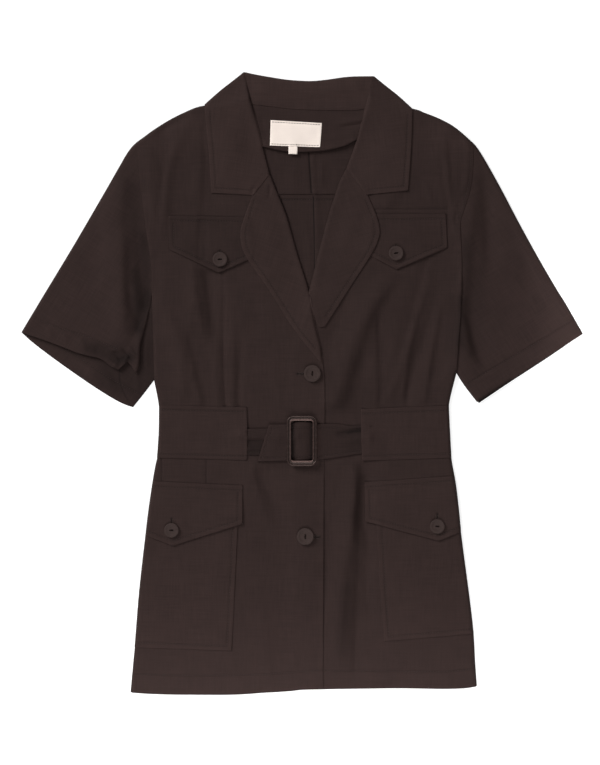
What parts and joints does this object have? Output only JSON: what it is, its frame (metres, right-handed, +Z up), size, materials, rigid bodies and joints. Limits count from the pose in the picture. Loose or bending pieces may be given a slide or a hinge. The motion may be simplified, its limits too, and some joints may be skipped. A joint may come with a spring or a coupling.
{
  "type": "short-sleeve belted blazer",
  "caption": "Short-sleeve cotton blazer laid flat on its back, with a notched collar, flapped pockets, waist panels and a buckled belt.",
  "frame": {"origin": "on the surface the blazer lies on, under the middle of its outline", "axes": "+X to the right as seen from above, +Y from the hem to the collar, +Z up from the surface"},
  "size_m": [0.642, 0.7119, 0.0138],
  "materials": {
    "cloth": "matte",
    "button": "satin",
    "buckle": "gloss",
    "label": "matte"
  },
  "bodies": {
    "root": {"back_left": "cloth", "back_right": "cloth", "back_yoke": "cloth", "back_neck_facing": "cloth", "collar_stand": "cloth", "collar_fall": "cloth", "front_left": "cloth", "front_right": "cloth", "lapel_left": "cloth", "lapel_right": "cloth", "sleeve_left": "cloth", "sleeve_right": "cloth", "flap_chest_left": "cloth", "flap_chest_right": "cloth", "pocket_hip_left": "cloth", "pocket_hip_right": "cloth", "flap_hip_left": "cloth", "flap_hip_right": "cloth", "waist_panel_left": "cloth", "waist_panel_right": "cloth", "belt_over": "cloth", "belt_under": "cloth", "button_front_upper": "button", "button_front_lower": "button", "button_chest_left": "button", "button_chest_right": "button", "button_hip_left": "button", "button_hip_right": "button", "buckle": "buckle", "neck_label": "label", "size_tab": "label"}
  },
  "joints": []
}
